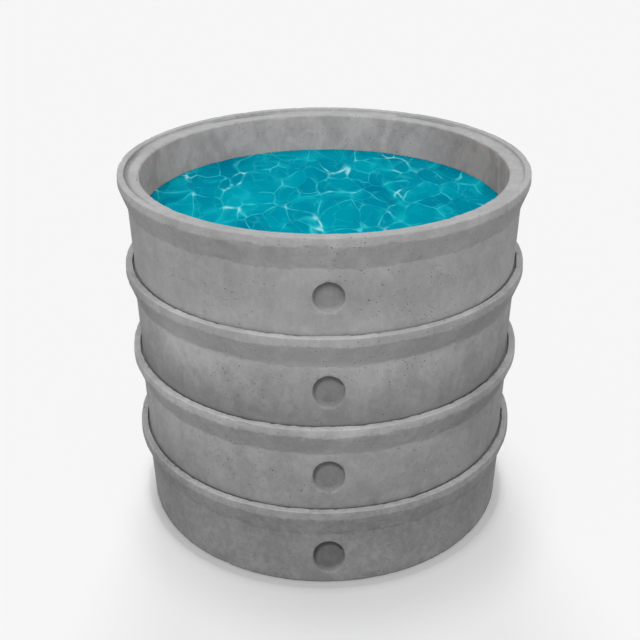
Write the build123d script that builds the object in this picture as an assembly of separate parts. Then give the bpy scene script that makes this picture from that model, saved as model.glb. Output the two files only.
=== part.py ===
import os

from build123d import *

# Precast concrete cistern: a cast base unit and three socketed rings stacked on it, filled with water.
# Millimetres, +Z up. The origin is on the axis of the stack, at the level that the base stands on.
# The knock-outs are in one line, on the -Y side.

# Bore and walls
bore_radius = 1000.0
foot_wall = 66.0  # wall thickness at a ring's foot
neck_wall = 75.0  # wall thickness where the collar begins
floor_thickness = 120.0  # cast floor of the base unit

# Stacking
stacked_rings = ["lower_ring", "upper_ring", "top_ring"]
laying_height = 510.0  # height that each unit adds to the stack
socket_depth = 20.0  # how far a ring's foot stands inside the collar below
joint_clearance = 11.0  # open joint between a foot and the collar round it

# Collar
lip_width = 38.0  # flat top of the collar, outside the socket
band_height = 45.0
band_flare = 3.0  # the band is this much wider at its lower edge
taper_height = 125.0  # cone that leads from the band back to the wall
ledge_chamfer = 11.0  # along each face, on the ledge's inner edge at the bore

# Blind round knock-out for a pipe
knockout_radius = 80.0  # at the face of the wall
knockout_floor_radius = 75.0
knockout_depth = 38.0
knockout_drop = 315.0  # centre below the top of the lip

# Water
water_drop = 245.0  # surface below the top of the highest lip
water_clearance = 0.3

# Radii that follow from the sizes above
foot_radius = bore_radius + foot_wall
neck_radius = bore_radius + neck_wall
socket_radius = foot_radius + joint_clearance
lip_radius = socket_radius + lip_width
band_foot_radius = lip_radius + band_flare

# Levels that follow from the sizes above
ring_height = laying_height + socket_depth
stack_height = laying_height * (1 + len(stacked_rings))
water_level = stack_height - water_drop


def revolved(corners):
    """Solid of revolution about Z from closed corners (radius, level, chamfer)."""
    points = []
    for index, (radius, level, chamfer) in enumerate(corners):
        corner = Vector(radius, 0, level)
        if chamfer == 0:
            points.append(corner)
            continue
        for neighbour in (corners[index - 1], corners[(index + 1) % len(corners)]):
            edge = Vector(neighbour[0], 0, neighbour[1]) - corner
            points.append(corner + edge.normalized() * chamfer)
    return revolve(make_face(Polyline(*points, close=True)), axis=Axis.Z)


def wall_and_collar(foot_level, lip_level):
    """Corners from the foot's outer edge, up the wall and collar, over the ledge to the bore."""
    band_foot_level = lip_level - band_height
    ledge_level = lip_level - socket_depth
    return [
        (foot_radius, foot_level, 0),
        (neck_radius, band_foot_level - taper_height, 0),
        (band_foot_radius, band_foot_level, 0),
        (lip_radius, lip_level, 0),
        (socket_radius, lip_level, 0),
        (socket_radius, ledge_level, 0),
        (bore_radius, ledge_level, ledge_chamfer),
    ]


def knockout(lip_level):
    """Tool that sinks the blind knock-out into the outer wall, wider at its mouth."""
    neck_height = ring_height - band_height - taper_height
    rise = (ring_height - knockout_drop) / neck_height
    wall_radius = foot_radius + (neck_radius - foot_radius) * rise
    flare = (knockout_radius - knockout_floor_radius) / knockout_depth
    reach = knockout_depth + lip_width
    floor_centre = (0, -(wall_radius - knockout_depth), lip_level - knockout_drop)
    return Plane(floor_centre, x_dir=(1, 0, 0), z_dir=(0, -1, 0)) * Cone(
        bottom_radius=knockout_floor_radius,
        top_radius=knockout_floor_radius + flare * reach,
        height=reach,
        align=(Align.CENTER, Align.CENTER, Align.MIN),
    )


def stacked_ring(lip_level):
    """Open ring whose foot stands on the ledge of the unit below."""
    foot_level = lip_level - ring_height
    corners = wall_and_collar(foot_level, lip_level) + [(bore_radius, foot_level, 0)]
    return revolved(corners) - knockout(lip_level)


def base_unit():
    """Bottom ring with its floor cast in, standing flat on the ground."""
    corners = [(0, 0, 0)] + wall_and_collar(0, laying_height)
    corners += [(bore_radius, floor_thickness, 0), (0, floor_thickness, 0)]
    return revolved(corners) - knockout(laying_height)


def water_body():
    """Water standing in the bore, from the cast floor up to its level surface."""
    side = bore_radius - water_clearance
    bottom = floor_thickness + water_clearance
    return revolved([(0, bottom, 0), (side, bottom, 0), (side, water_level, 0), (0, water_level, 0)])


parts = {"base_ring": base_unit()}
for index, name in enumerate(stacked_rings):
    parts[name] = stacked_ring(laying_height * (index + 2))
parts["water"] = water_body()

os.makedirs("parts", exist_ok=True)
for name, solid in parts.items():
    export_step(solid, f"parts/{name}.step")
    print(name, round(solid.volume / 1e9, 4), "cubic metres")
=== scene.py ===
import math

import bpy
import numpy as np
from mathutils import Matrix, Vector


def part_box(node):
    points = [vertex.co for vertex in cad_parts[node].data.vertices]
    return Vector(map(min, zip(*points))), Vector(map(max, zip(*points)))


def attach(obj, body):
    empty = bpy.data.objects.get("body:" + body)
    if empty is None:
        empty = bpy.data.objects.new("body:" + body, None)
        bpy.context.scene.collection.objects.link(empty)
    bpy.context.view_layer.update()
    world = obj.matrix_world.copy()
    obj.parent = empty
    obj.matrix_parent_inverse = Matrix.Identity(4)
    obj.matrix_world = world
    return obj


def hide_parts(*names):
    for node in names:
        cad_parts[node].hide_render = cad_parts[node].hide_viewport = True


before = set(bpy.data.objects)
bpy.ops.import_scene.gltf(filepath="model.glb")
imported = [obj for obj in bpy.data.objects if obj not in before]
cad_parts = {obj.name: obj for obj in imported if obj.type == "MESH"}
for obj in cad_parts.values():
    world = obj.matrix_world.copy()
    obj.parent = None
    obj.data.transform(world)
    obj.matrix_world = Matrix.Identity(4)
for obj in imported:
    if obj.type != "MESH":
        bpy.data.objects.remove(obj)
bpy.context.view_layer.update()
print("frame loaded")

fullTurn = 2 * math.pi
quarterTurn = math.pi / 2
knockoutSide = -quarterTurn  # where the knock-outs sit round the stack

# camera, on the knock-out side and above the rim
cameraPlace = {
    "distance": 5.143,  # level distance from the axis of the stack, metres
    "height": 3.698,
    "azimuth": -1.15,  # degrees round from the knock-outs
    "turn": 0.286,  # degrees left of the axis
    "down": 27.15,
    "roll": -0.28,
    "lens": 54.90,
    "farthest": 200,  # metres
}


def placeCamera(place):
    around = Matrix.Rotation(math.radians(place["azimuth"]), 4, "Z")
    heading = Matrix.Rotation(math.radians(place["turn"]), 4, "Z")
    tilt = Matrix.Rotation(math.radians(90 - place["down"]), 4, "X")
    roll = Matrix.Rotation(math.radians(place["roll"]), 4, "Z")
    stand = Matrix.Translation((0, -place["distance"], place["height"]))
    data = bpy.data.cameras.new("camera")
    data.lens = place["lens"]
    data.clip_end = place["farthest"]
    camera = bpy.data.objects.new("camera", data)
    camera.matrix_world = around @ stand @ heading @ tilt @ roll
    bpy.context.scene.collection.objects.link(camera)
    bpy.context.scene.camera = camera


placeCamera(cameraPlace)
print("camera placed")

# the section that every casting shares, metres, outward from the bore
castingSection = {
    "bore": 1.0,
    "foot": 1.066,
    "neck": 1.075,
    "socket": 1.077,
    "lip": 1.115,
    "bandHeight": 0.045,
    "taperHeight": 0.125,
    "socketDepth": 0.020,
    "baseFloor": 0.120,
    "columns": 860,  # points round the casting
    "roundStep": 18,  # degrees of a rounding from one row of points to the next
    "skin": 0.0004,  # how far the finished surface stays inside the casting's box, outward
    "topSkin": 0.0001,  # the same, upward
}

# rows of points placed between each corner of the section and the next
sectionRows = {
    "footOuter": 8,
    "frameLow": 20,
    "frameHigh": 3,
    "neck": 9,
    "bandFoot": 4,
    "lipOuter": 4,
    "lipInner": 1,
    "socketFoot": 6,
    "ledgeInner": 9,
    "boreFoot": 2,
    "hidden": 1,
}

# how each edge was cast: rounding, wander along the ring, chips per ring and how deep they go
castingEdges = {
    "footOuter": {"round": 0.014, "wander": 0.0010, "chips": 50, "deep": 0.004},
    "neck": {"round": 0.016, "wander": 0.0060, "chips": 0, "deep": 0.0},
    "bandFoot": {"round": 0.012, "wander": 0.0032, "chips": 60, "deep": 0.003},
    "lipOuter": {"round": 0.006, "wander": 0.0012, "chips": 90, "deep": 0.004},
    "lipInner": {"round": 0.004, "wander": 0.0020, "chips": 90, "deep": 0.004},
    "socketFoot": {"round": 0.006, "wander": 0.0020, "chips": 0, "deep": 0.0},
    "ledgeInner": {"round": 0.014, "wander": 0.0015, "chips": 70, "deep": 0.005},
    "boreFoot": {"round": 0.004, "wander": 0.0, "chips": 0, "deep": 0.0},
}
openSocketRound = {"lipInner": 0.008, "socketFoot": 0.010}  # worn softer where no ring stands in it

chipShape = {
    "reach": 0.03,  # how far from its edge a chip may spread
    "wide": (0.008, 0.024),
    "longer": [1, 1, 1, 2.5],  # one chip in four is drawn out along the edge
    "high": (0.004, 0.010),
    "bite": (0.25, 1.0),  # share of the edge's full depth
    "biteFall": 1.5,  # above 1 makes shallow bites more common
    "offset": 0.003,  # how far to either side of the edge a chip may sit
    "ragged": 0.35,
    "dentFall": 0.7,  # below 1 makes the dents blunt
}
wanderShape = {
    "slow": {"waves": 14, "fewest": 5, "most": 40, "share": 0.6},
    "fast": {"waves": 16, "fewest": 40, "most": 160, "share": 0.4},
    "reach": 0.022,  # how far the wander of an edge carries over the surface beside it
    "sunk": 0.5,  # share of the wander that the lips, ledges and foot sink by
}
# the faint waviness of every surface
wallWaves = {
    "waves": 26,
    "fewest": 4,
    "most": 60,
    "rise": 16.0,
    "middle": 0.0004,
    "swing": 0.0003,
}
rimGroove = {"past": 0.006, "reach": 0.016}  # where the painted shadow in the rim groove lies, walked on from the foot of the socket

knockoutShape = {
    "draft": 0.005,  # how much narrower the floor is than the mouth, all round
    "depth": 0.0375,
    "crispRound": 0.003,  # mouth at the top
    "wornRound": 0.009,  # mouth at the foot
    "floorRound": 0.006,
    "frameAcross": 0.105,  # half sides of the stretch of wall that the round opening is worked into
    "frameUp": 0.128,
    "ragged": 0.0028,  # share of its size by which the outline strays
    "raggedWaves": (8, 2, 9),  # number, fewest and most round the mouth
    "damage": 0.0008,  # how deep the mouth's rounding is bitten
    "damageWaves": (10, 2, 14),
    "frameShares": (0.35, 0.7, 1.0),  # loops of points on the way from the frame to the mouth
    "mouthSteps": 5,
    "sideShares": (0.25, 0.5, 0.75, 1.0),
    "floorSteps": 4,
    "floorShares": (0.91, 0.82, 0.73, 0.62, 0.45, 0.2),
    "shadeAcross": 0.006,  # how far the painted shadow under the upper edge is drawn sideways over the floor
    "shadeSoft": 0.14,  # width of the painted shadow's soft edge, as a share of the floor
    "shadeDepth": 0.3,  # what the painted shadow adds to the painted recess shade that the material reads
}


class RingNoise:
    # smooth noise that closes on itself round the ring
    def __init__(self, rng, waves, fewest, most, rise=0.0):
        self.turns = rng.integers(fewest, most + 1, waves)
        self.rises = rng.normal(0, rise, waves) if rise else np.zeros(waves)
        self.phases = rng.uniform(0, fullTurn, waves)
        self.weights = (fewest / self.turns) ** 0.5
        self.weights /= np.sqrt((self.weights**2).sum() / 2)

    def at(self, angle, level=0.0):
        total = 0
        for turns, rise, phase, weight in zip(self.turns, self.rises, self.phases, self.weights):
            total = total + weight * np.cos(turns * angle + rise * level + phase)
        return total


def sectionCorners(footLevel, lipLevel, bandRadius, drop, isBase):
    # name, radius and level of each corner, up the outside and down the bore
    section = castingSection
    neckLevel = lipLevel - section["bandHeight"] - section["taperHeight"]
    low = lipLevel - drop - knockoutShape["frameUp"]
    high = lipLevel - drop + knockoutShape["frameUp"]
    ledge = lipLevel - section["socketDepth"]

    def wallAt(level):
        lean = section["neck"] - section["foot"]
        return section["foot"] + lean * (level - footLevel) / (neckLevel - footLevel)

    corners = [
        ("footOuter", section["foot"], footLevel),
        ("frameLow", wallAt(low), low),
        ("frameHigh", wallAt(high), high),
        ("neck", section["neck"], neckLevel),
        ("bandFoot", bandRadius, lipLevel - section["bandHeight"]),
        ("lipOuter", section["lip"], lipLevel),
        ("lipInner", section["socket"], lipLevel),
        ("socketFoot", section["socket"], ledge),
        ("ledgeInner", section["bore"], ledge),
    ]
    if isBase:
        corners.insert(0, ("underCentre", 0.0, footLevel))
        corners.append(("floorEdge", section["bore"], section["baseFloor"]))
        corners.append(("floorCentre", 0.0, section["baseFloor"]))
    else:
        corners.append(("boreFoot", section["bore"], footLevel))
    return corners


def rowsAfter(name, isTop):
    if name in ("socketFoot", "ledgeInner") and not isTop:
        return sectionRows["hidden"]
    return sectionRows.get(name, sectionRows["hidden"])


def roundingOf(name, isTop):
    if isTop and name in openSocketRound:
        return openSocketRound[name]
    return castingEdges[name]["round"] if name in castingEdges else 0.0


def cornerTurns(corners, closed, isTop):
    # how the section turns at each corner, and the point where its rounding starts
    points = [np.array(corner[1:]) for corner in corners]
    last = len(points) - 1
    turns = []
    for i, (name, _, _) in enumerate(corners):
        arriving = points[i] - points[i - 1]
        leaving = points[(i + 1) % len(points)] - points[i]
        if not closed and i == 0:
            arriving = leaving
        if not closed and i == last:
            leaving = arriving
        arriving = arriving / np.linalg.norm(arriving)
        leaving = leaving / np.linalg.norm(leaving)
        sideways = arriving[0] * leaving[1] - arriving[1] * leaving[0]
        turn = math.atan2(sideways, float(arriving @ leaving))
        rounding = roundingOf(name, isTop)
        cut = rounding * math.tan(abs(turn) / 2)
        turns.append({
            "name": name,
            "arriving": arriving,
            "leaving": leaving,
            "turn": turn,
            "rounding": rounding,
            "start": points[i] - arriving * cut,
        })
    return turns


def roundedRows(corners, closed, isTop):
    # walks the section and gives every row its radius, level, outward normal and distance walked
    turns = cornerTurns(corners, closed, isTop)
    roundStep = math.radians(castingSection["roundStep"])
    rows = []
    marks = {}

    def put(point, normal):
        walked = rows[-1][4] + float(np.hypot(*(point - rows[-1][:2]))) if rows else 0.0
        rows.append(np.array((*point, *normal, walked)))

    for i, corner in enumerate(turns):
        arriving, leaving = corner["arriving"], corner["leaving"]
        turn, rounding, start = corner["turn"], corner["rounding"], corner["start"]
        centre = start + np.array((-arriving[1], arriving[0])) * math.copysign(rounding, turn)
        outward = np.array((arriving[1], -arriving[0]))
        steps = max(2, round(abs(turn) / roundStep)) if rounding else 0
        for step in range(steps + 1):
            angle = turn * step / steps if steps else 0.0
            cosine, sine = math.cos(angle), math.sin(angle)
            spin = np.array(((cosine, -sine), (sine, cosine)))
            put(centre + spin @ (start - centre), spin @ outward)
            if step == steps // 2:
                marks[corner["name"]] = len(rows) - 1
        if not closed and i == len(turns) - 1:
            break
        here = rows[-1][:2]
        goal = turns[(i + 1) % len(turns)]["start"]
        between = rowsAfter(corner["name"], isTop)
        for step in range(1, between + 1):
            put(here + (goal - here) * step / (between + 1), np.array((leaving[1], -leaving[0])))
    return np.array(rows), marks


def chipField(rng, angles, walked, middle, radius, chips, deep):
    # small bites along one edge, each a dent with a ragged outline
    shape = chipShape
    field = np.zeros((len(walked), len(angles)))
    near = np.abs(walked - middle) < shape["reach"]
    for _ in range(chips):
        at = rng.uniform(0, fullTurn)
        wide = rng.uniform(*shape["wide"]) * rng.choice(shape["longer"])
        high = rng.uniform(*shape["high"])
        bite = deep * rng.uniform(*shape["bite"]) ** shape["biteFall"]
        offset = rng.normal(0, shape["offset"])
        along = ((angles - at + math.pi) % fullTurn - math.pi) * radius
        inside = np.abs(along) < wide
        if not inside.any():
            continue
        a = (along[inside] / wide)[None, :]
        b = ((walked[near] - middle - offset) / high)[:, None]
        ragged = 1 + shape["ragged"] * np.sin(a * 7 + at * 40) * np.cos(b * 5 + at * 17)
        dent = bite * np.clip(1 - (a * a + b * b) * ragged, 0, 1) ** shape["dentFall"]
        spot = np.ix_(near, inside)
        field[spot] = np.maximum(field[spot], dent)
    return field


def edgeWander(rng, angles):
    total = 0
    for key in ("slow", "fast"):
        plan = wanderShape[key]
        waves = RingNoise(rng, plan["waves"], plan["fewest"], plan["most"]).at(angles)
        total = total + plan["share"] * waves
    return total


def weatherEdges(rng, angles, rows, marks):
    # how far each point sinks into the concrete or is lifted along it, and how worn it is
    radius, walked = rows[:, 0], rows[:, 4]
    sink = np.zeros((len(rows), len(angles)))
    lift = np.zeros_like(sink)
    wear = np.zeros_like(sink)
    for edge, plan in castingEdges.items():
        if edge not in marks:
            continue
        mark = marks[edge]
        middle = walked[mark]
        if plan["chips"]:
            chips = chipField(rng, angles, walked, middle, radius[mark], plan["chips"], plan["deep"])
            sink = np.maximum(sink, chips)
            wear = np.maximum(wear, chips / plan["deep"])
        wander = plan["wander"] * edgeWander(rng, angles)
        reach = np.exp(-(((walked - middle) / wanderShape["reach"]) ** 2))[:, None]
        if edge in ("neck", "bandFoot"):
            lift += reach * wander
        else:
            sink += reach * np.clip(-wanderShape["sunk"] * wander, 0, plan["wander"])
    return sink, lift, wear


def wallPoints(rng, angles, rows, marks, footLevel, lipLevel, bandRadius, isBase):
    # the weathered points of every row round the ring, and how worn each one is
    radius, level, outward, upward = (rows[:, [i]] for i in range(4))
    sink, lift, wear = weatherEdges(rng, angles, rows, marks)
    plan = wallWaves
    waves = RingNoise(rng, plan["waves"], plan["fewest"], plan["most"], plan["rise"])
    sink += np.clip(plan["middle"] + plan["swing"] * waves.at(angles[None, :], level), 0, None)
    if isBase:
        underside = np.abs(level - footLevel) < 1e-6
        sink = np.where(underside, 0.0, sink)
    reach = np.minimum(radius - outward * sink, bandRadius)
    height = level - upward * sink + lift
    height = np.clip(height, footLevel, lipLevel - castingSection["topSkin"])
    return np.stack((reach * np.cos(angles), reach * np.sin(angles), height), axis=-1), wear


def surfaceAttributes(rows, marks, heights, wear, isTop):
    # what the material asks of every point, one value each
    walked = rows[:, 4]
    order = np.arange(len(rows))
    columns = heights.shape[1]
    fromGroove = (walked - walked[marks["socketFoot"]] - rimGroove["past"]) / rimGroove["reach"]
    byRow = {
        "upward": (order > marks["lipOuter"]) & (order < marks["ledgeInner"]),
        "inside": order > marks["ledgeInner"],
        # corner marks where the painted shadow beside the lip lies
        "corner": np.exp(-(fromGroove**2)),
        # painted shade on the socket faces hidden in the joint below the next casting
        "jointShade": (order > marks["lipInner"]) & (order < marks["ledgeInner"]) & (not isTop),
    }
    attributes = {"wear": wear.reshape(-1), "height": heights.reshape(-1)}
    for name, values in byRow.items():
        attributes[name] = np.repeat(np.asarray(values, dtype=float), columns)
    attributes["recessShade"] = np.zeros(heights.size)
    return attributes


def meshPiece(name, points, faces, attributes):
    mesh = bpy.data.meshes.new(name)
    mesh.from_pydata([tuple(point) for point in points], [], faces)
    mesh.update()
    mesh.shade_smooth()
    for attributeName, values in attributes.items():
        layer = mesh.attributes.new(attributeName, "FLOAT", "POINT")
        layer.data.foreach_set("value", np.asarray(values, dtype=np.float32))
    piece = bpy.data.objects.new(name, mesh)
    bpy.context.scene.collection.objects.link(piece)
    return piece


def knockoutRings(halfWidth, halfHeight, around):
    # loops over the mouth's rounding, down the side and over the floor: share of the way from the
    # frame, half width, half height, depth, and how far the round wall has turned into a flat floor
    shape = knockoutShape
    crisper = 0.5 + 0.5 * np.sin(around)
    rounding = shape["wornRound"] + (shape["crispRound"] - shape["wornRound"]) * crisper
    sideFoot = shape["depth"] - shape["floorRound"]
    rings = []

    def put(grown, deep, flat, share=1.0):
        rings.append((share, halfWidth + grown, halfHeight + grown, deep + 0 * rounding, flat))

    for share in shape["frameShares"]:
        put(rounding, 0.0, 0.0, share)
    for step in range(1, shape["mouthSteps"] + 1):
        turn = quarterTurn * step / shape["mouthSteps"]
        put(rounding * (1 - math.sin(turn)), rounding * (1 - math.cos(turn)), 0.0)
    for share in shape["sideShares"]:
        put(-shape["draft"] * share, rounding + (sideFoot - rounding) * share, share)
    for step in range(1, shape["floorSteps"] + 1):
        turn = quarterTurn * step / shape["floorSteps"]
        shrunk = shape["draft"] + shape["floorRound"] * (1 - math.cos(turn))
        put(-shrunk, sideFoot + shape["floorRound"] * math.sin(turn), 1.0)
    edge = shape["draft"] + shape["floorRound"]
    deep = shape["depth"] + 0 * rounding
    for share in shape["floorShares"]:
        rings.append((1.0, (halfWidth - edge) * share, (halfHeight - edge) * share, deep, 1.0))
    return rings


def knockoutPatch(rng, border, wall, mouth):
    # points that fill the frame: from its border to the mouth, down the side and over the floor
    shape = knockoutShape
    halfWidth, halfHeight = mouth["width"] / 2, mouth["height"] / 2
    across = (np.arctan2(border[:, 1], border[:, 0]) - knockoutSide) * wall["radius"]
    up = border[:, 2] - wall["level"]
    around = np.arctan2(up / halfHeight, across / halfWidth)
    ragged = 1 + shape["ragged"] * RingNoise(rng, *shape["raggedWaves"]).at(around)
    damage = np.clip(RingNoise(rng, *shape["damageWaves"]).at(around), 0, 2) * shape["damage"]
    floorWidth = halfWidth - shape["draft"] - shape["floorRound"]
    floorHeight = halfHeight - shape["draft"] - shape["floorRound"]
    loops, recessShade = [], []
    for share, ringWidth, ringHeight, deep, flat in knockoutRings(halfWidth, halfHeight, around):
        x = across + (ringWidth * ragged * np.cos(around) - across) * share
        y = up + (ringHeight * ragged * np.sin(around) - up) * share
        worn = np.where((deep > 0) & (flat == 0.0), damage, 0.0)
        reach = wall["radius"] + wall["lean"] * y - deep - worn - castingSection["skin"]
        angle = knockoutSide + x / wall["radius"]
        wrapped = np.stack((reach * np.cos(angle), reach * np.sin(angle)), axis=-1)
        plane = np.stack((x, deep - wall["radius"]), axis=-1)
        loops.append(np.column_stack((wrapped + (plane - wrapped) * flat, wall["level"] + y)))

        # painted recess shade: 0 on the wall, 1 on the floor, between on the side wall, and a little more
        # where the painted shadow of the upper edge falls
        shadeX = (x - shape["shadeAcross"]) / floorWidth
        shadeY = (y + mouth["shadeDown"]) / floorHeight
        shaded = np.clip((np.hypot(shadeX, shadeY) - 1.0) / shape["shadeSoft"] + 0.5, 0, 1)
        underEdge = (np.sin(around - 0.5) > -0.3) & (deep > shape["depth"] * 0.5)
        onFloor = deep > shape["depth"] * 0.95
        onSide = np.clip(0.75 + 0.3 * np.sin(around), 0, 1) * flat**0.5
        recessShade.append(np.where(onFloor, 1.0, onSide) + shape["shadeDepth"] * shaded * underEdge)
    centre = np.array([[0.0, shape["depth"] - wall["radius"], wall["level"]]])
    return np.vstack(loops + [centre]), np.concatenate(recessShade + [np.ones(1)]), len(loops)


def patchFaces(border, loopCount, first):
    # from the border of the frame inward, loop by loop, to the centre point
    count = len(border)
    faces = []
    previous = border
    for index in range(loopCount):
        current = [first + index * count + i for i in range(count)]
        for i in range(count):
            after = (i + 1) % count
            faces.append((previous[i], previous[after], current[after], current[i]))
        previous = current
    centre = first + loopCount * count
    faces += [(previous[i], previous[(i + 1) % count], centre) for i in range(count)]
    return faces


def withoutLoosePoints(points, faces, attributes):
    used = np.zeros(len(points), dtype=bool)
    for face in faces:
        used[list(face)] = True
    renumber = np.cumsum(used) - 1
    faces = [tuple(int(renumber[i]) for i in face) for face in faces]
    return points[used], faces, {key: values[used] for key, values in attributes.items()}


def castRing(name, source, plan):
    isBase, isTop = source == "base_ring", source == "top_ring"
    rng = np.random.default_rng(plan["seed"])
    mouth = plan["knockout"]
    columns = castingSection["columns"]
    low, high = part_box(source)
    footLevel, lipLevel = low[2], high[2]
    bandRadius = high[0] - castingSection["skin"]
    corners = sectionCorners(footLevel, lipLevel, bandRadius, mouth["drop"], isBase)
    rows, marks = roundedRows(corners, not isBase, isTop)
    angles = knockoutSide + (np.arange(columns) - columns // 2) * fullTurn / columns
    points, wear = wallPoints(rng, angles, rows, marks, footLevel, lipLevel, bandRadius, isBase)

    def heightShare(level):
        return (level - footLevel) / (lipLevel - footLevel)

    attributes = surfaceAttributes(rows, marks, heightShare(points[..., 2]), wear, isTop)
    points = points.reshape(-1, 3)

    # the stretch of wall that the knock-out is worked into
    across = round(knockoutShape["frameAcross"] / (castingSection["foot"] * fullTurn / columns))
    left, right = columns // 2 - across, columns // 2 + across
    bottom, top = marks["frameLow"], marks["frameHigh"]

    def at(row, column):
        # the first and last rows of the base are one point each, on the axis
        onAxis = isBase and row in (0, len(rows) - 1)
        return row * columns + (0 if onAxis else column % columns)

    faces = []
    for row in range(len(rows) - 1 if isBase else len(rows)):
        above = (row + 1) % len(rows)
        for column in range(columns):
            if bottom <= row < top and left <= column < right:
                continue
            face = (at(row, column), at(row, column + 1), at(above, column + 1), at(above, column))
            faces.append(tuple(dict.fromkeys(face)))

    border = [at(bottom, column) for column in range(left, right)]
    border += [at(row, right) for row in range(bottom, top)]
    border += [at(top, column) for column in range(right, left, -1)]
    border += [at(row, left) for row in range(top, bottom, -1)]
    lean = (rows[top, 0] - rows[bottom, 0]) / (rows[top, 1] - rows[bottom, 1])
    centreLevel = lipLevel - mouth["drop"]
    centreRadius = rows[bottom, 0] + lean * (centreLevel - rows[bottom, 1])
    wall = {"radius": centreRadius, "lean": lean, "level": centreLevel}
    added, recessShade, loopCount = knockoutPatch(rng, points[border], wall, mouth)
    first = len(points)
    faces += patchFaces(border, loopCount, first)
    points = np.vstack([points, added])
    for key, values in attributes.items():
        attributes[key] = np.concatenate([values, np.zeros(len(added))])
    attributes["recessShade"][first:] = recessShade
    attributes["height"][first:] = heightShare(added[:, 2])

    # the wall that the knock-out takes the place of leaves loose points behind
    piece = meshPiece(name, *withoutLoosePoints(points, faces, attributes))
    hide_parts(source)
    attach(piece, "root")
    return piece


# each knock-out: width, height, drop of its centre below the lip, and how far down its floor the painted
# shadow of the upper edge reaches
castings = {
    "base_ring": {
        "piece": "baseCasting",
        "seed": 11,
        "slot": "concrete_base",
        "knockout": {"width": 0.171, "height": 0.217, "drop": 0.328, "shadeDown": 0.042},
    },
    "lower_ring": {
        "piece": "lowerCasting",
        "seed": 12,
        "slot": "concrete",
        "knockout": {"width": 0.168, "height": 0.196, "drop": 0.314, "shadeDown": 0.037},
    },
    "upper_ring": {
        "piece": "upperCasting",
        "seed": 13,
        "slot": "concrete",
        "knockout": {"width": 0.162, "height": 0.181, "drop": 0.317, "shadeDown": 0.033},
    },
    "top_ring": {
        "piece": "topCasting",
        "seed": 14,
        "slot": "concrete",
        "knockout": {"width": 0.154, "height": 0.158, "drop": 0.316, "shadeDown": 0.026},
    },
}
castingPieces = []
for source, plan in castings.items():
    piece = castRing(plan["piece"], source, plan)
    castingPieces.append(piece)
    triangles = sum(len(face.vertices) - 2 for face in piece.data.polygons)
    print(piece.name, "cast with", triangles, "triangles")


def addNode(tree, kind, inputs=(), **settings):
    made = tree.nodes.new(kind)
    for key, value in settings.items():
        setattr(made, key, value)
    for key, value in dict(inputs).items():
        if isinstance(value, bpy.types.NodeSocket):
            tree.links.new(value, made.inputs[key])
        else:
            made.inputs[key].default_value = value
    return made


def maths(tree, operation, first, second=0.0, third=0.0, clamp=False):
    made = addNode(tree, "ShaderNodeMath", {0: first, 1: second, 2: third}, operation=operation)
    made.use_clamp = clamp
    return made.outputs[0]


def vectorMaths(tree, operation, first, second):
    inputs = {0: first, "Scale" if operation == "SCALE" else 1: second}
    return addNode(tree, "ShaderNodeVectorMath", inputs, operation=operation)


def spread(tree, value, low, high, toLow, toHigh, smooth=True):
    made = addNode(tree, "ShaderNodeMapRange", {
        "Value": value, "From Min": low, "From Max": high, "To Min": toLow, "To Max": toHigh})
    made.interpolation_type = "SMOOTHSTEP" if smooth else "LINEAR"
    return made.outputs["Result"]


def dimmed(tree, shade, value, low, high, tone):
    # the shade times a tone that comes in as the value goes from low to high
    return maths(tree, "MULTIPLY", shade, spread(tree, value, low, high, 1.0, tone))


def noise(tree, place, scale, detail=3.0, roughness=0.5, warp=0.0):
    return addNode(tree, "ShaderNodeTexNoise", {
        "Vector": place, "Scale": scale, "Detail": detail, "Roughness": roughness, "Distortion": warp,
    }).outputs["Fac"]


def patchy(tree, place, plan):
    # noise with the used part of it spread from the least to the most
    return spread(tree, noise(tree, place, *plan["noise"]), *plan["part"], plan["least"], plan["most"])


def moved(tree, place, scale=(1, 1, 1), shift=(0, 0, 0)):
    inputs = {"Vector": place, "Scale": scale, "Location": shift}
    return addNode(tree, "ShaderNodeMapping", inputs).outputs[0]


def wobbled(tree, place, pattern, plan):
    # a place pushed about by noise, so that what is laid out by it gets a ragged outline
    push = addNode(tree, "ShaderNodeTexNoise", {
        "Vector": pattern, "Scale": plan["scale"], "Detail": plan["detail"], "Roughness": 0.5})
    push = vectorMaths(tree, "SUBTRACT", push.outputs["Color"], (0.5, 0.5, 0.5)).outputs[0]
    push = vectorMaths(tree, "SCALE", push, plan["push"]).outputs[0]
    return vectorMaths(tree, "ADD", place, push).outputs[0]


def attribute(tree, name):
    return addNode(tree, "ShaderNodeAttribute", attribute_name=name).outputs["Fac"]


def mixed(tree, share, first, second):
    # colours as tuples or sockets
    made = addNode(tree, "ShaderNodeMix", data_type="RGBA")
    for socket, value in zip((made.inputs[0], made.inputs[6], made.inputs[7]), (share, first, second)):
        if isinstance(value, bpy.types.NodeSocket):
            tree.links.new(value, socket)
        else:
            socket.default_value = (*value, 1.0)
    return made.outputs[2]


def closeTo(tree, place, point, reach):
    # 1 at a point, fading to 0 at its reach
    gap = vectorMaths(tree, "DISTANCE", place, point).outputs["Value"]
    return spread(tree, gap, 0.0, reach, 1.0, 0.0)


def emptyMaterial(name):
    material = bpy.data.materials.new(name)
    material.use_nodes = True
    material.node_tree.nodes.clear()
    return material, material.node_tree


def finishMaterial(tree, shader):
    output = addNode(tree, "ShaderNodeOutputMaterial")
    tree.links.new(shader.outputs[0], output.inputs["Surface"])


def cellTone(tree, cell):
    # one random value for each cell
    return addNode(tree, "ShaderNodeSeparateColor", {0: cell.outputs["Color"]}).outputs[0]


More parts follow.
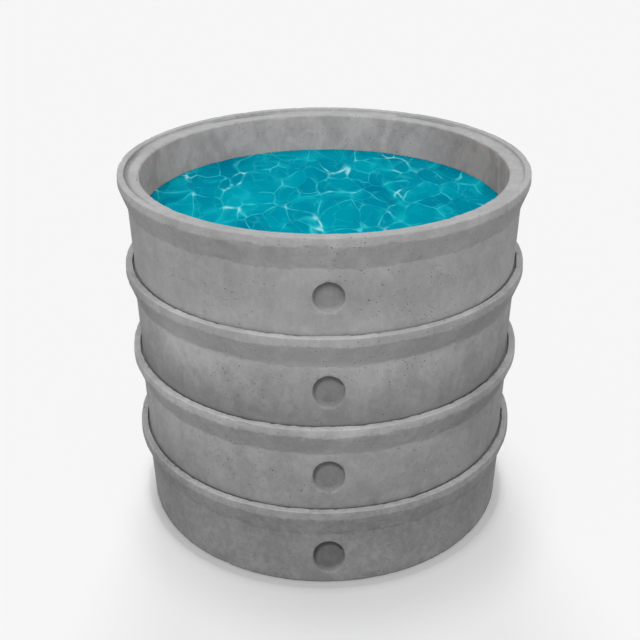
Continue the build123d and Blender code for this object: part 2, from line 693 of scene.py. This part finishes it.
def pits(tree, place, plan):
    # round bug holes: a share of the cells holds one, each of its own size, given in cell widths
    smallest, largest = plan["sizes"]
    start = 1 - plan["share"]
    inputs = {"Vector": moved(tree, place, shift=plan["shift"]), "Scale": plan["scale"], "Randomness": 1.0}
    cell = addNode(tree, "ShaderNodeTexVoronoi", inputs)
    chance = cellTone(tree, cell)
    size = spread(tree, chance, start, 1.0, smallest, largest, smooth=False)
    present = maths(tree, "GREATER_THAN", chance, start)
    outward = maths(tree, "DIVIDE", cell.outputs["Distance"], size)
    depth = maths(tree, "SUBTRACT", 1.0, outward, clamp=True)
    return maths(tree, "MULTIPLY", depth, present)


# each pattern's noise (scale, detail, roughness, warp), its rate upward against sideways (less draws it
# out), the part of the noise that is used, and for some how much of it the bore has
concretePatterns = {
    "cloud": {"noise": (2.2, 4.0, 0.55), "upright": 1.0, "part": (0.30, 0.70)},
    "patches": {"noise": (7.0, 5.0, 0.55, 0.6), "upright": 0.7, "part": (0.40, 0.60), "bore": 1.8},
    "mottle": {"noise": (26.0, 5.0, 0.65, 0.8), "upright": 0.8, "part": (0.35, 0.68)},
    "grain": {"noise": (260.0, 2.0, 0.6), "upright": 1.0, "part": (0.25, 0.75)},
    "runs": {"noise": (22.0, 4.0, 0.65, 0.3), "upright": 0.1, "part": (0.35, 0.70), "bore": 0.2},
}
patternStrengths = {"patches": 0.055, "grain": 0.04, "runs": 0.006}  # the same on every casting
bugHoles = {
    "small": {"shift": (0, 0, 0), "scale": 80.0, "share": 0.24, "sizes": (0.14, 0.34)},
    "large": {"shift": (5, 3, 1), "scale": 34.0, "share": 0.13, "sizes": (0.09, 0.20)},
    "highlightFlecks": {"shift": (2, 7, 4), "scale": 60.0, "share": 0.10, "sizes": (0.12, 0.30)},
}
bugHoleCrowds = {"noise": (3.4, 3.0, 0.6), "part": (0.47, 0.62), "least": 0.06, "most": 0.75}
spotEdges = {"scale": 9.0, "detail": 3.0, "push": 0.35}
concreteLook = {
    "highlightFlecks": 0.18,  # how much lighter the painted highlight flecks are
    "holeTone": 0.34,
    "holeSoft": 0.30,  # how deep a hole has its full tone
    "wearPart": (0.1, 0.9),
    "wearTone": 0.85,
    "jointShadeTone": 0.58,
    "grooveShadowPart": (0.1, 0.5),
    "grooveShadowTone": 0.60,
    "raggedMottle": 0.4,  # how much of the mottle joins the patches in blurring one tone into the next
    "soleShadeReach": (0.030, 0.008),  # from where to where the painted contact shade on the foot line darkens, as a share of the height
    "lipEndShade": (0.68, 1.04),  # from where to where the painted shade darkens the lips to the left and right, metres
    "boreEnds": (0.15, 0.85),  # from where to where the bore's sides turn into its ends, metres
    "boreEdge": (0.961, 0.918),  # from where to where the bore takes on its warm painted counter-tint, downward
    "relief": {"grain": 0.25, "mottle": 0.5, "holes": -3.0, "distance": 0.0012, "strength": 0.6},
    "roughness": (0.78, 0.92),
    "specular": 0.25,
}

# how far up a casting each tone sits, as a share of its height
toneHeights = (
    ("foot", 0.025),
    ("low", 0.10),
    ("wall", 0.38),
    ("neck", 0.66),
    ("taper", 0.72),
    ("taper", 0.88),
    ("band", 0.94),
)

# tones are for the outside; top for the lips, set lighter on the lower three castings as painted light on
# up-facing faces; lipEndShadeTone for painted shade at the lips' left and right ends; recessShadeTone and
# recessShadowTone for painted shade and shadow on the knock-out's floor; soleShadeTone for painted contact
# shade on the foot line. crowds of bug holes: place and reach. painted shadow in the rim groove: place,
# reach
# and how sharp. toneSpots: place, reach and how much darker or lighter
concreteFinishes = {
    "baseCasting": {
        "tones": {"foot": 0.28, "low": 0.3, "wall": 0.3, "neck": 0.285, "taper": 0.325, "band": 0.335},
        "top": 0.46,
        "lipEndShadeTone": 0.84,
        "bore": 0.30,
        "recessShadeTone": 0.58,
        "recessShadowTone": 0.52,
        "soleShadeTone": 0.30,
        "cloud": 0.08,
        "mottle": 0.10,
        "ragged": 0.018,
        "shift": (3.1, 0.7, 1.9),
        "crowds": [((0.75, -0.77, 0.25), 0.5)],
        "toneSpots": [
            ((0.75, -0.80, 0.25), 0.35, 0.89),
            ((-0.90, -0.60, 0.50), 0.4, 0.88),
        ],
    },
    "lowerCasting": {
        "tones": {"foot": 0.295, "low": 0.32, "wall": 0.36, "neck": 0.415, "taper": 0.38, "band": 0.45},
        "top": 0.53,
        "lipEndShadeTone": 0.82,
        "bore": 0.36,
        "recessShadeTone": 0.74,
        "recessShadowTone": 0.62,
        "soleShadeTone": 0.75,
        "cloud": 0.07,
        "mottle": 0.06,
        "ragged": 0.02,
        "shift": (7.7, 2.3, 0.4),
        "crowds": [((-0.55, -0.9, 0.8), 0.45)],
        "toneSpots": [
            ((-0.80, -0.72, 0.80), 0.6, 1.09),
            ((0.90, -0.60, 0.70), 0.35, 0.95),
            ((0.80, -0.74, 0.96), 0.5, 0.78),
            ((0.05, -1.10, 1.00), 0.22, 1.14),
        ],
    },
    "upperCasting": {
        "tones": {"foot": 0.275, "low": 0.27, "wall": 0.365, "neck": 0.47, "taper": 0.415, "band": 0.42},
        "top": 0.54,
        "lipEndShadeTone": 0.78,
        "bore": 0.38,
        "recessShadeTone": 0.74,
        "recessShadowTone": 0.65,
        "soleShadeTone": 0.75,
        "cloud": 0.07,
        "mottle": 0.05,
        "ragged": 0.03,
        "shift": (1.2, 5.9, 3.3),
        "crowds": [((-0.45, -0.95, 1.25), 0.4), ((0.35, -1.0, 1.35), 0.35)],
        "toneSpots": [
            ((-0.78, -0.75, 1.35), 0.55, 1.12),
            ((-0.60, -0.88, 1.10), 0.35, 0.95),
            ((0.80, -0.72, 1.38), 0.45, 0.80),
            ((-1.0, -0.50, 1.50), 0.50, 0.80),
        ],
    },
    "topCasting": {
        "tones": {"foot": 0.43, "low": 0.445, "wall": 0.405, "neck": 0.435, "taper": 0.445, "band": 0.46},
        "top": 0.43,
        "lipEndShadeTone": 1.0,
        "bore": 0.455,
        "recessShadeTone": 0.76,
        "recessShadowTone": 0.82,
        "soleShadeTone": 0.75,
        "cloud": 0.06,
        "mottle": 0.05,
        "ragged": 0.015,
        "shift": (4.4, 9.1, 6.2),
        "crowds": [((0.50, -0.95, 1.72), 0.45), ((0.40, 0.90, 1.95), 0.40), ((0.1, -1.08, 1.93), 0.3)],
        "grooveShadow": [
            ((-1.05, -0.25, 2.03), 0.75, 1),
            ((-0.50, 0.95, 2.03), 0.34, 6),
            ((0.66, 0.84, 2.03), 0.34, 6),
        ],
        "toneSpots": [
            ((-0.80, -0.75, 1.75), 0.3, 1.06),
            ((1.02, -0.40, 1.72), 0.4, 1.07),
        ],
        # painted shade on the right-hand side of the bore
        "boreShadeSpots": [
            ((0.85, 0.50, 1.86), 0.75, 0.78),
            ((0.95, 0.0, 1.86), 0.5, 0.90),
        ],
    },
}
# the bore is grey at its upper edge and warmer below, a painted counter-tint to the blue light the water
# bounces onto it: a little on its near and far ends, more on its sides
boreCounterTints = {
    "edge": (1.0, 1.0, 1.0),
    "ends": (1.16, 0.965, 0.925),
    "sides": (1.30, 0.965, 0.88),
}


def toneUp(tree, height, tones):
    # the tone of the outside, blended up the casting
    ramp = addNode(tree, "ShaderNodeValToRGB", {"Fac": height})
    stops = ramp.color_ramp.elements
    while len(stops) < len(toneHeights):
        stops.new(1.0)
    for stop, (name, level) in zip(stops, toneHeights):
        stop.position = level
        stop.color = (tones[name], tones[name], tones[name], 1.0)
    return ramp.outputs["Color"]


def patternsOf(tree, place, inside):
    # every pattern of the concrete, from -1 to 1
    patterns = {}
    for key, plan in concretePatterns.items():
        made = noise(tree, moved(tree, place, (1, 1, plan["upright"])), *plan["noise"])
        made = spread(tree, made, *plan["part"], -1, 1)
        patterns[key] = dimmed(tree, made, inside, 0, 1, plan["bore"]) if "bore" in plan else made
    return patterns


def holesOf(tree, own, place, crowds):
    crowd = patchy(tree, place, bugHoleCrowds)
    for point, reach in crowds:
        crowd = maths(tree, "MAXIMUM", crowd, closeTo(tree, own, point, reach))
    small = pits(tree, place, bugHoles["small"])
    large = pits(tree, place, bugHoles["large"])
    return maths(tree, "MULTIPLY", maths(tree, "MAXIMUM", small, large), crowd)


def shadeOf(tree, own, place, inside, patterns, holes, finish):
    # how light or dark each spot is against the plain tone
    look = concreteLook
    height = attribute(tree, "height")
    recessShade = attribute(tree, "recessShade")
    shade = 1.0
    for key, made in patterns.items():
        strength = finish[key] if key in finish else patternStrengths[key]
        shade = maths(tree, "MULTIPLY_ADD", made, strength, shade)
    # painted highlights: small lighter flecks
    shade = maths(tree, "MULTIPLY_ADD", pits(tree, place, bugHoles["highlightFlecks"]), look["highlightFlecks"], shade)
    shade = dimmed(tree, shade, holes, 0.0, look["holeSoft"], look["holeTone"])
    shade = dimmed(tree, shade, attribute(tree, "wear"), *look["wearPart"], look["wearTone"])
    # painted shade in the knock-out, and the painted shadow of its upper edge on the floor
    shade = dimmed(tree, shade, recessShade, 0.0, 1.0, finish["recessShadeTone"])
    shade = dimmed(tree, shade, recessShade, 1.0, 1.0 + knockoutShape["shadeDepth"], finish["recessShadowTone"])
    # painted contact shade along the foot, where a casting stands on the floor or in the socket below
    shade = dimmed(tree, shade, height, *look["soleShadeReach"], finish["soleShadeTone"])
    # painted shade on the socket faces hidden in the joint between two castings
    shade = dimmed(tree, shade, attribute(tree, "jointShade"), 0, 1, look["jointShadeTone"])
    # painted shadow cast by the lip into the rim groove
    for point, reach, sharp in finish.get("grooveShadow", []):
        grooveShade = maths(tree, "POWER", attribute(tree, "corner"), sharp)
        near = spread(tree, closeTo(tree, own, point, reach), *look["grooveShadowPart"], 0.0, 1.0)
        shade = dimmed(tree, shade, maths(tree, "MULTIPLY", grooveShade, near), 0, 1, look["grooveShadowTone"])
    # darker and lighter spots, each with a place, a reach and a factor, their outlines made ragged by
    # noise
    wobbly = wobbled(tree, own, place, spotEdges)
    for point, reach, change in finish["toneSpots"]:
        shade = dimmed(tree, shade, closeTo(tree, wobbly, point, reach), 0, 1, change)
    # painted shade on the right-hand side of the bore
    for point, reach, change in finish.get("boreShadeSpots", []):
        boreShadeSpot = maths(tree, "MULTIPLY", closeTo(tree, wobbly, point, reach), inside)
        shade = dimmed(tree, shade, boreShadeSpot, 0, 1, change)
    return shade


def toneOf(tree, own, inside, patterns, finish):
    # the plain tone of the outside, the lips and the bore
    look = concreteLook
    height = attribute(tree, "height")
    ragged = maths(tree, "MULTIPLY_ADD", patterns["mottle"], look["raggedMottle"], patterns["patches"])
    ragged = maths(tree, "MULTIPLY", ragged, finish["ragged"])
    outside = toneUp(tree, maths(tree, "ADD", height, ragged), finish["tones"])
    apart = addNode(tree, "ShaderNodeSeparateXYZ", {0: own})
    sidewise = maths(tree, "ABSOLUTE", apart.outputs["X"])
    endwise = maths(tree, "ABSOLUTE", apart.outputs["Y"])
    # the lips' tone, set lighter on the lower three castings as painted light on up-facing faces, with
    # painted shade towards their left and right ends
    lipLightAndShade = spread(tree, sidewise, *look["lipEndShade"], 1.0, finish["lipEndShadeTone"])
    lipLightAndShade = maths(tree, "MULTIPLY", lipLightAndShade, finish["top"])
    # the bore's painted counter-tint against the blue light bounced from the water
    bore = {key: tuple(finish["bore"] * part for part in tint) for key, tint in boreCounterTints.items()}
    deeper = mixed(tree, spread(tree, endwise, *look["boreEnds"], 0.0, 1.0), bore["sides"], bore["ends"])
    bore = mixed(tree, spread(tree, height, *look["boreEdge"], 0.0, 1.0), bore["edge"], deeper)
    outer = mixed(tree, attribute(tree, "upward"), outside, lipLightAndShade)
    return mixed(tree, inside, outer, bore)


def concreteMaterial(name, finish):
    look, relief = concreteLook, concreteLook["relief"]
    material, tree = emptyMaterial(name)
    own = addNode(tree, "ShaderNodeTexCoord").outputs["Object"]
    place = moved(tree, own, shift=finish["shift"])
    inside = attribute(tree, "inside")
    patterns = patternsOf(tree, place, inside)
    holes = holesOf(tree, own, place, finish["crowds"])
    shade = shadeOf(tree, own, place, inside, patterns, holes, finish)
    tone = toneOf(tree, own, inside, patterns, finish)
    colour = vectorMaths(tree, "SCALE", tone, shade).outputs[0]

    height = maths(tree, "MULTIPLY", patterns["mottle"], relief["mottle"])
    height = maths(tree, "MULTIPLY_ADD", patterns["grain"], relief["grain"], height)
    height = maths(tree, "MULTIPLY_ADD", holes, relief["holes"], height)
    bump = addNode(tree, "ShaderNodeBump", {
        "Height": height, "Distance": relief["distance"], "Strength": relief["strength"]})
    finishMaterial(tree, addNode(tree, "ShaderNodeBsdfPrincipled", {
        "Base Color": colour,
        "Roughness": spread(tree, patterns["patches"], -1, 1, *look["roughness"]),
        "Specular IOR Level": look["specular"],
        "Normal": bump.outputs[0],
    }))
    return material


for piece in castingPieces:
    piece.data.materials.append(concreteMaterial(piece.name + "Concrete", concreteFinishes[piece.name]))
print("concrete finished")

# water: a rippled surface over a plain body
waterShape = {
    "columns": 480,
    "rings": 130,
    "waves": 24,
    "lengths": (0.09, 0.34),
    "bend": 0.5,  # how far the crests stray from straight lines
    "bendRate": 0.37,
    "ripple": 0.0025,  # half the height from trough to crest
    "seed": 21,
}


def pourWater(shape):
    rng = np.random.default_rng(shape["seed"])
    low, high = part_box("water")
    side, surface, bottom = float(high[0]), float(high[2]), float(low[2])
    columns, rings = shape["columns"], shape["rings"]
    angles = np.arange(columns) * fullTurn / columns
    radii = side * (np.arange(1, rings + 1) / rings)
    x = radii[:, None] * np.cos(angles)
    y = radii[:, None] * np.sin(angles)
    z = np.zeros_like(x)
    for _ in range(shape["waves"]):
        heading = rng.uniform(0, fullTurn)
        length = rng.uniform(*shape["lengths"])
        along = x * math.cos(heading) + y * math.sin(heading)
        wave = fullTurn / length * along + rng.uniform(0, fullTurn)
        z += length * np.cos(wave + shape["bend"] * np.cos(wave * shape["bendRate"]))
    z = (z - z.max()) / (z.max() - z.min()) * 2 * shape["ripple"]
    points = [(0.0, 0.0, surface + float(z[0].mean()))]
    points += list(np.stack((x, y, surface + z), axis=-1).reshape(-1, 3))
    firstFoot = len(points)
    points += [(side * math.cos(angle), side * math.sin(angle), bottom) for angle in angles]
    points.append((0.0, 0.0, bottom))
    bottomCentre = len(points) - 1

    def at(ring, column):
        return 1 + ring * columns + column % columns

    faces = [(0, at(0, column), at(0, column + 1)) for column in range(columns)]
    for ring in range(rings - 1):
        for column in range(columns):
            after = column + 1
            faces.append((at(ring, column), at(ring + 1, column), at(ring + 1, after), at(ring, after)))
    for column in range(columns):
        here, after = firstFoot + column, firstFoot + (column + 1) % columns
        faces.append((at(rings - 1, column), here, after, at(rings - 1, column + 1)))
        faces.append((after, here, bottomCentre))
    piece = meshPiece("waterBody", points, faces, {})
    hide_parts("water")
    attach(piece, "root")
    return piece


# the body's tones, and the painted caustic light on it: the glow beside the threads, the threads, and
# sparks where threads meet
waterColours = {
    "deep": (0.0, 0.200, 0.315),
    "clear": (0.0, 0.335, 0.435),
    "causticGlow": (0.005, 0.440, 0.530),
    "causticThread": (0.045, 0.58, 0.665),
    "causticSpark": (0.62, 0.88, 0.90),
}
lightCells = {
    "large": {
        "scale": 6.6,
        "shift": (0.0, 0.0, 0.0),
        "thin": 0.030,
        "wide": 0.056,
        "breaks": {"noise": (9.9, 2.0), "part": (0.38, 0.62), "least": 0.14, "most": 1.0},
    },
    "small": {
        "scale": 10.5,
        "shift": (2.7, 1.3, 0.0),
        "thin": 0.036,
        "wide": 0.060,
        "breaks": {"noise": (15.75, 2.0), "part": (0.38, 0.62), "least": 0.14, "most": 1.0},
    },
}
waterLook = {
    "drawnOut": (1, 0.55, 1),  # the cells are drawn out away from the knock-out side
    "wobble": {"scale": 3.4, "detail": 1.5, "push": 0.20},
    "random": 0.85,  # how unlike each other the cells are
    "meeting": (0.55, 0.80),  # how far from a cell's middle its threads meet, in cell widths
    "cloud": {"noise": (2.6, 3.0, 0.55), "part": (0.36, 0.66), "least": 0.0, "most": 1.0},
    "cloudStrength": 0.45,  # how much each of these three lightens the body
    "largeCells": 0.45,
    "smallCells": 0.20,
    "halo": {"noise": (6.0, 3.0), "part": (0.49, 0.65), "least": 0.0, "most": 0.85},
    "haloReach": 0.28,
    "fineThreads": 0.34,
    "threadFall": 1.2,
    "causticSpark": {"noise": (10.0, 2.0), "part": (0.52, 0.64), "least": 0.0, "most": 0.60},
    "sparkFall": 3.0,
    "roughness": 0.35,
    "specular": 0.0,
    "refraction": 1.33,
}


def lightThreads(tree, place, cells):
    # painted caustic light, as bright threads between rounded cells: how bright they are, how close a
    # meeting of threads is, the cell's own tone, and how far off the cell's edge is
    own = moved(tree, place, shift=cells["shift"])
    inputs = {"Vector": own, "Scale": cells["scale"], "Randomness": waterLook["random"]}
    edge = addNode(tree, "ShaderNodeTexVoronoi", inputs, feature="DISTANCE_TO_EDGE").outputs["Distance"]
    cell = addNode(tree, "ShaderNodeTexVoronoi", inputs)
    meeting = spread(tree, cell.outputs["Distance"], *waterLook["meeting"], 0.0, 1.0)
    width = spread(tree, meeting, 0.0, 1.0, cells["thin"], cells["wide"])
    causticThread = maths(tree, "SUBTRACT", 1.0, maths(tree, "DIVIDE", edge, width), clamp=True)
    causticThread = maths(tree, "MULTIPLY", causticThread, patchy(tree, place, cells["breaks"]))
    return causticThread, meeting, cellTone(tree, cell), edge


def waterMaterial(look):
    material, tree = emptyMaterial("turquoiseWater")
    own = addNode(tree, "ShaderNodeTexCoord").outputs["Object"]
    own = moved(tree, own, look["drawnOut"])
    place = wobbled(tree, own, own, look["wobble"])
    causticThread, meeting, tone, edge = lightThreads(tree, place, lightCells["large"])
    fineThread, _, fineTone, _ = lightThreads(tree, place, lightCells["small"])

    body = maths(tree, "MULTIPLY", patchy(tree, place, look["cloud"]), look["cloudStrength"])
    body = maths(tree, "MULTIPLY_ADD", tone, look["largeCells"], body)
    body = maths(tree, "MULTIPLY_ADD", fineTone, look["smallCells"], body, clamp=True)
    colour = mixed(tree, body, waterColours["deep"], waterColours["clear"])

    # painted caustic light: a glow beside the threads, the threads, and sparks where threads meet
    halo = maths(tree, "SUBTRACT", 1.0, maths(tree, "DIVIDE", edge, look["haloReach"]), clamp=True)
    halo = maths(tree, "MULTIPLY", halo, patchy(tree, place, look["halo"]))
    colour = mixed(tree, halo, colour, waterColours["causticGlow"])
    lines = maths(tree, "MAXIMUM", causticThread, maths(tree, "MULTIPLY", fineThread, look["fineThreads"]))
    colour = mixed(tree, maths(tree, "POWER", lines, look["threadFall"]), colour, waterColours["causticThread"])
    causticSpark = maths(tree, "MULTIPLY", causticThread, maths(tree, "POWER", meeting, look["sparkFall"]))
    causticSpark = maths(tree, "MULTIPLY", causticSpark, patchy(tree, place, look["causticSpark"]))
    colour = mixed(tree, causticSpark, colour, waterColours["causticSpark"])
    finishMaterial(tree, addNode(tree, "ShaderNodeBsdfPrincipled", {
        "Base Color": colour,
        "Roughness": look["roughness"],
        "IOR": look["refraction"],
        "Specular IOR Level": look["specular"],
    }))
    return material


waterPiece = pourWater(waterShape)
waterPiece.data.materials.append(waterMaterial(waterLook))
print("water poured")

# floor and light
surroundings = {
    "backdrop": (0.922, 0.922, 0.922),
    "bounce": 0.32,  # how much of its light the floor hands back to the castings
    "sky": 0.18,
    "floorSize": 120,
}
# each lamp lights the castings or the floor: its share of the light on level ground, its angle across
# for soft shadows, and the azimuth and elevation it comes from
lamps = {
    "domeLamp": {"lights": "castings", "share": 0.41, "across": 170, "azimuth": 0, "elevation": 90},
    "frontLamp": {"lights": "castings", "share": 0.31, "across": 35, "azimuth": -6, "elevation": 47},
    "topLamp": {"lights": "castings", "share": 0.11, "across": 50, "azimuth": 200, "elevation": 60},
    "floorFrontLamp": {"lights": "floor", "share": 0.32, "across": 11, "azimuth": 0, "elevation": 37.5},
    "floorTopLamp": {"lights": "floor", "share": 0.18, "across": 3.2, "azimuth": 0, "elevation": 90},
    "floorBackLamp": {"lights": "floor", "share": 0.19, "across": 13, "azimuth": 196, "elevation": 81.5},
    "floorLowLamp": {"lights": "floor", "share": 0.13, "across": 23, "azimuth": 182, "elevation": 35.5},
}


def seenByCamera(tree):
    path = addNode(tree, "ShaderNodeLightPath")
    seen = maths(tree, "MAXIMUM", path.outputs["Is Camera Ray"], path.outputs["Is Glossy Ray"])
    return maths(tree, "MAXIMUM", seen, path.outputs["Is Transmission Ray"])


def layFloor(plan):
    half = plan["floorSize"] / 2
    corners = [(-half, -half, 0), (half, -half, 0), (half, half, 0), (-half, half, 0)]
    mesh = bpy.data.meshes.new("floor")
    mesh.from_pydata(corners, [], [(0, 1, 2, 3)])
    floor = bpy.data.objects.new("floor", mesh)
    bpy.context.scene.collection.objects.link(floor)
    material, tree = emptyMaterial("paleFloor")
    tone = spread(tree, seenByCamera(tree), 0, 1, plan["bounce"], plan["backdrop"][0], smooth=False)
    finishMaterial(tree, addNode(tree, "ShaderNodeBsdfDiffuse", {"Color": tone}))
    mesh.materials.append(material)
    return floor


def hangSky(plan):
    world = bpy.data.worlds.new("sky")
    bpy.context.scene.world = world
    world.use_nodes = True
    tree = world.node_tree
    tree.nodes.clear()
    lighting = addNode(tree, "ShaderNodeBackground", {"Color": (1, 1, 1, 1), "Strength": plan["sky"]})
    shown = addNode(tree, "ShaderNodeBackground", {"Color": (*plan["backdrop"], 1), "Strength": 1.0})
    parts = {0: seenByCamera(tree), 1: lighting.outputs[0], 2: shown.outputs[0]}
    mix = addNode(tree, "ShaderNodeMixShader", parts)
    output = addNode(tree, "ShaderNodeOutputWorld")
    tree.links.new(mix.outputs[0], output.inputs["Surface"])


def hangLamp(name, plan, pieces):
    data = bpy.data.lights.new(name, "SUN")
    data.angle = math.radians(plan["across"])
    data.energy = math.pi * plan["share"] / math.sin(math.radians(plan["elevation"]))
    lamp = bpy.data.objects.new(name, data)
    turn = Matrix.Rotation(math.radians(plan["azimuth"]), 4, "Z")
    lamp.matrix_world = turn @ Matrix.Rotation(math.radians(90 - plan["elevation"]), 4, "X")
    bpy.context.scene.collection.objects.link(lamp)
    lit = bpy.data.collections.new(name + "Lights")
    for piece in pieces:
        lit.objects.link(piece)
    lamp.light_linking.receiver_collection = lit


floorPiece = layFloor(surroundings)
hangSky(surroundings)
litPieces = {"castings": castingPieces + [waterPiece], "floor": [floorPiece]}
for name, plan in lamps.items():
    hangLamp(name, plan, litPieces[plan["lights"]])
bpy.context.scene.view_settings.view_transform = "Standard"
print("scene lit")
